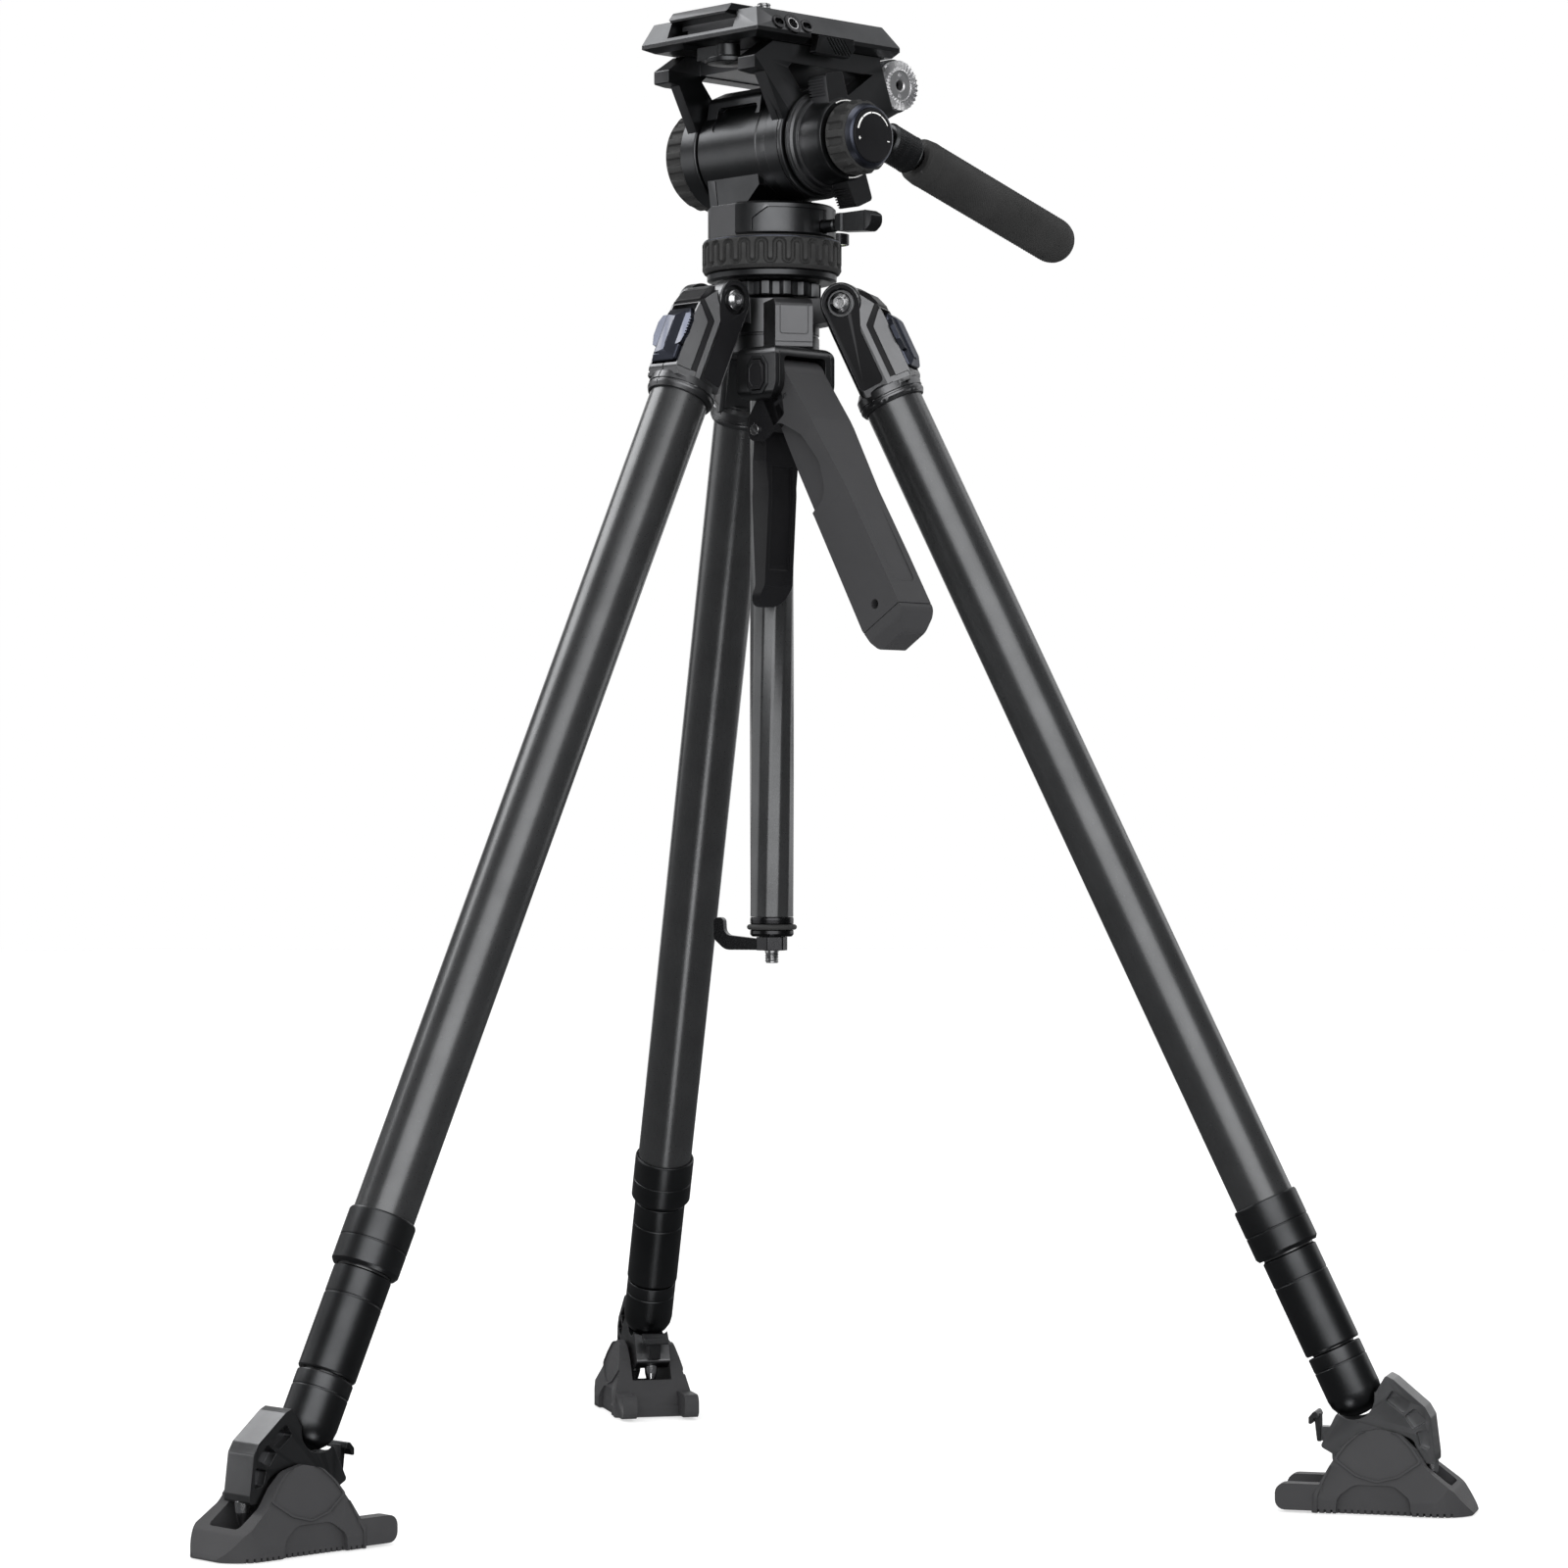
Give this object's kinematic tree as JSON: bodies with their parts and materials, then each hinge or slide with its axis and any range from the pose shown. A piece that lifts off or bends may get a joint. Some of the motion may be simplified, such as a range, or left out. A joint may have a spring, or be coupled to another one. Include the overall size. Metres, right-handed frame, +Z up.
{
  "type": "camera tripod with fluid head",
  "caption": "Three-legged carbon camera tripod with telescopic legs, a centre column with hook, a folding carry grip and a fluid pan-tilt head with quick-release plate and pan bar.",
  "frame": {"origin": "middle of the bounding box, on the ground", "axes": "+Z up, -Y the way the lens looks, +X the operator's left; the head's tilt axis runs along X"},
  "size_m": [0.78, 0.7648, 0.934],
  "materials": {
    "black_metal": "satin black anodised",
    "carbon": "clear-coated carbon tube",
    "rubber": "matte ribbed rubber",
    "black_plastic": "fine-grained moulded plastic",
    "slate_metal": "glossy slate-blue anodised",
    "steel": "machined bright steel",
    "level_glass": "clear cap over green liquid"
  },
  "bodies": {
    "spider": {"spider_hub": "black_metal", "front_leg_pivot_bolt": "steel", "left_leg_pivot_bolt": "steel", "right_leg_pivot_bolt": "steel", "handle_bracket": "black_metal"},
    "front_leg": {"front_leg_shoulder": "black_metal", "front_leg_upper_tube": "carbon", "front_leg_lower_collar": "black_metal"},
    "front_leg_tab": {"front_leg_angle_tab": "slate_metal"},
    "front_leg_middle": {"front_leg_middle_stage": "black_metal"},
    "front_leg_lower": {"front_leg_lower_stage": "black_metal"},
    "front_leg_foot": {"front_leg_foot_frame": "black_metal", "front_leg_foot_shoe": "rubber"},
    "front_leg_latch": {"front_leg_foot_latch": "black_metal"},
    "left_leg": {"left_leg_shoulder": "black_metal", "left_leg_upper_tube": "carbon", "left_leg_lower_collar": "black_metal"},
    "left_leg_tab": {"left_leg_angle_tab": "slate_metal"},
    "left_leg_middle": {"left_leg_middle_stage": "black_metal"},
    "left_leg_lower": {"left_leg_lower_stage": "black_metal"},
    "left_leg_foot": {"left_leg_foot_frame": "black_metal", "left_leg_foot_shoe": "rubber"},
    "left_leg_latch": {"left_leg_foot_latch": "black_metal"},
    "right_leg": {"right_leg_shoulder": "black_metal", "right_leg_upper_tube": "carbon", "right_leg_lower_collar": "black_metal"},
    "right_leg_tab": {"right_leg_angle_tab": "slate_metal"},
    "right_leg_middle": {"right_leg_middle_stage": "black_metal"},
    "right_leg_lower": {"right_leg_lower_stage": "black_metal"},
    "right_leg_foot": {"right_leg_foot_frame": "black_metal", "right_leg_foot_shoe": "rubber"},
    "right_leg_latch": {"right_leg_foot_latch": "black_metal"},
    "column": {"column_tube": "carbon", "column_end_cap": "black_metal", "head_base_flange": "black_metal"},
    "lock_collar": {"column_lock_collar": "black_metal"},
    "hook": {"weight_hook": "black_metal"},
    "drag_ring": {"pan_drag_ring": "rubber"},
    "pan": {"pan_base": "black_metal", "pan_spindle": "steel", "bubble_level": "level_glass", "drag_barrel": "black_metal"},
    "pan_lock": {"pan_lock_lever": "black_metal"},
    "tilt": {"tilt_shaft": "steel", "tilt_cradle": "black_metal", "plate_receiver": "black_metal", "rosette": "steel"},
    "balance_dial": {"counterbalance_dial": "rubber"},
    "tilt_lock": {"tilt_lock_lever": "black_metal"},
    "drag_knob": {"tilt_drag_knob": "rubber"},
    "plate": {"quick_release_plate": "black_metal"},
    "mount_screw": {"camera_screw": "steel"},
    "release_button": {"plate_release_button": "black_metal"},
    "plate_lock": {"plate_lock_lever": "black_metal"},
    "bar": {"pan_bar": "black_metal"},
    "bar_collar": {"pan_bar_twist_collar": "black_metal"},
    "bar_grip": {"pan_bar_grip": "rubber"},
    "grip": {"grip_handle": "black_plastic"},
    "trigger": {"trigger_lever": "black_plastic"},
    "grip_button": {"handle_lock_button": "black_plastic"}
  },
  "joints": [
    {"name": "front_leg_spread", "type": "hinge", "parent": "spider", "child": "front_leg", "pos_m": [0, 0.01141, 0.7415], "axis": [-1, 0, 0], "range_deg": [-22, 50]},
    {"name": "front_leg_tab_pull", "type": "slide", "parent": "front_leg", "child": "front_leg_tab", "axis": [0, -0.9033, 0.4289], "range_m": [0, 0.008], "stiffness_N_per_m": 400},
    {"name": "front_leg_middle_slide", "type": "slide", "parent": "front_leg", "child": "front_leg_middle", "axis": [0, -0.4289, -0.9033], "range_m": [0, 0.33]},
    {"name": "front_leg_lower_slide", "type": "slide", "parent": "front_leg_middle", "child": "front_leg_lower", "axis": [0, -0.4289, -0.9033], "range_m": [0, 0.3]},
    {"name": "front_leg_foot_tilt", "type": "hinge", "parent": "front_leg_lower", "child": "front_leg_foot", "pos_m": [0, -0.30836, 0.06806], "axis": [1, 0, 0], "range_deg": [-25, 25]},
    {"name": "front_leg_latch_turn", "type": "hinge", "parent": "front_leg_foot", "child": "front_leg_latch", "pos_m": [0, -0.28556, 0.04106], "axis": [-1, 0, 0], "range_deg": [0, 60]},
    {"name": "left_leg_spread", "type": "hinge", "parent": "spider", "child": "left_leg", "pos_m": [0.0433, 0.08641, 0.7415], "axis": [0.5, -0.866, 0], "range_deg": [-22, 50]},
    {"name": "left_leg_tab_pull", "type": "slide", "parent": "left_leg", "child": "left_leg_tab", "axis": [0.7823, 0.4517, 0.4289], "range_m": [0, 0.008], "stiffness_N_per_m": 400},
    {"name": "left_leg_middle_slide", "type": "slide", "parent": "left_leg", "child": "left_leg_middle", "axis": [0.3715, 0.2145, -0.9033], "range_m": [0, 0.33]},
    {"name": "left_leg_lower_slide", "type": "slide", "parent": "left_leg_middle", "child": "left_leg_lower", "axis": [0.3715, 0.2145, -0.9033], "range_m": [0, 0.3]},
    {"name": "left_leg_foot_tilt", "type": "hinge", "parent": "left_leg_lower", "child": "left_leg_foot", "pos_m": [0.32023, 0.2463, 0.06806], "axis": [-0.5, 0.866, 0], "range_deg": [-25, 25]},
    {"name": "left_leg_latch_turn", "type": "hinge", "parent": "left_leg_foot", "child": "left_leg_latch", "pos_m": [0.30049, 0.2349, 0.04106], "axis": [0.5, -0.866, 0], "range_deg": [0, 60]},
    {"name": "right_leg_spread", "type": "hinge", "parent": "spider", "child": "right_leg", "pos_m": [-0.0433, 0.08641, 0.7415], "axis": [0.5, 0.866, 0], "range_deg": [-22, 50]},
    {"name": "right_leg_tab_pull", "type": "slide", "parent": "right_leg", "child": "right_leg_tab", "axis": [-0.7823, 0.4517, 0.4289], "range_m": [0, 0.008], "stiffness_N_per_m": 400},
    {"name": "right_leg_middle_slide", "type": "slide", "parent": "right_leg", "child": "right_leg_middle", "axis": [-0.3715, 0.2145, -0.9033], "range_m": [0, 0.33]},
    {"name": "right_leg_lower_slide", "type": "slide", "parent": "right_leg_middle", "child": "right_leg_lower", "axis": [-0.3715, 0.2145, -0.9033], "range_m": [0, 0.3]},
    {"name": "right_leg_foot_tilt", "type": "hinge", "parent": "right_leg_lower", "child": "right_leg_foot", "pos_m": [-0.32023, 0.2463, 0.06806], "axis": [-0.5, -0.866, 0], "range_deg": [-25, 25]},
    {"name": "right_leg_latch_turn", "type": "hinge", "parent": "right_leg_foot", "child": "right_leg_latch", "pos_m": [-0.30049, 0.2349, 0.04106], "axis": [0.5, 0.866, 0], "range_deg": [0, 60]},
    {"name": "column_slide", "type": "slide", "parent": "spider", "child": "column", "axis": [0, 0, 1], "range_m": [0, 0.33]},
    {"name": "column_lock_turn", "type": "hinge", "parent": "spider", "child": "lock_collar", "pos_m": [0, 0.06141, 0.752], "axis": [0, 0, 1], "range_deg": [0, 60]},
    {"name": "hook_swivel", "type": "hinge", "parent": "column", "child": "hook", "pos_m": [0, 0.06141, 0.34], "axis": [0, 0, 1], "continuous": true},
    {"name": "pan_drag_turn", "type": "hinge", "parent": "column", "child": "drag_ring", "pos_m": [0, 0.06141, 0.773], "axis": [0, 0, 1], "range_deg": [-140, 140]},
    {"name": "pan_turn", "type": "hinge", "parent": "column", "child": "pan", "pos_m": [0, 0.06141, 0.79], "axis": [0, 0, 1], "continuous": true},
    {"name": "pan_lock_turn", "type": "hinge", "parent": "pan", "child": "pan_lock", "pos_m": [0.045, 0.06941, 0.7905], "axis": [1, 0, 0], "range_deg": [-60, 60]},
    {"name": "tilt_turn", "type": "hinge", "parent": "pan", "child": "tilt", "pos_m": [0, 0.06141, 0.8416], "axis": [1, 0, 0], "range_deg": [-50, 75]},
    {"name": "balance_turn", "type": "hinge", "parent": "pan", "child": "balance_dial", "pos_m": [-0.057, 0.06141, 0.8416], "axis": [1, 0, 0], "range_deg": [-120, 120]},
    {"name": "tilt_lock_turn", "type": "hinge", "parent": "pan", "child": "tilt_lock", "pos_m": [0.057, 0.06141, 0.8416], "axis": [1, 0, 0], "range_deg": [-45, 45]},
    {"name": "tilt_drag_turn", "type": "hinge", "parent": "pan", "child": "drag_knob", "pos_m": [0.078, 0.06141, 0.8416], "axis": [1, 0, 0], "range_deg": [-140, 140]},
    {"name": "plate_slide", "type": "slide", "parent": "tilt", "child": "plate", "axis": [0, 1, 0], "range_m": [-0.05, 0.05]},
    {"name": "camera_screw_turn", "type": "hinge", "parent": "plate", "child": "mount_screw", "pos_m": [0, 0.05441, 0.925], "axis": [0, 0, 1], "continuous": true},
    {"name": "release_button_press", "type": "slide", "parent": "tilt", "child": "release_button", "axis": [-1, 0, 0], "range_m": [0, 0.003], "stiffness_N_per_m": 500},
    {"name": "plate_lock_turn", "type": "hinge", "parent": "tilt", "child": "plate_lock", "pos_m": [0.013, 0.01141, 0.897], "axis": [0, 0, 1], "range_deg": [0, 90]},
    {"name": "pan_bar_turn", "type": "hinge", "parent": "tilt", "child": "bar", "pos_m": [-0.03, 0.14141, 0.888], "axis": [-1, 0, 0], "range_deg": [-60, 60]},
    {"name": "bar_collar_turn", "type": "hinge", "parent": "bar", "child": "bar_collar", "pos_m": [-0.042, 0.21672, 0.86411], "axis": [0, 0.9532, -0.3024], "range_deg": [0, 90]},
    {"name": "bar_grip_slide", "type": "slide", "parent": "bar", "child": "bar_grip", "axis": [0, 0.9532, -0.3024], "range_m": [0, 0.06]},
    {"name": "grip_fold", "type": "hinge", "parent": "spider", "child": "grip", "pos_m": [0.048, 0.03241, 0.69], "axis": [0, -1, 0], "range_deg": [0, 60]},
    {"name": "trigger_squeeze", "type": "hinge", "parent": "grip", "child": "trigger", "pos_m": [0.034, 0.03241, 0.66], "axis": [0, -1, 0], "range_deg": [0, 20], "stiffness_Nm_per_rad": 0.6, "springref_deg": -17.19},
    {"name": "grip_button_press", "type": "slide", "parent": "spider", "child": "grip_button", "axis": [0, 1, 0], "range_m": [0, 0.003], "stiffness_N_per_m": 500}
  ]
}
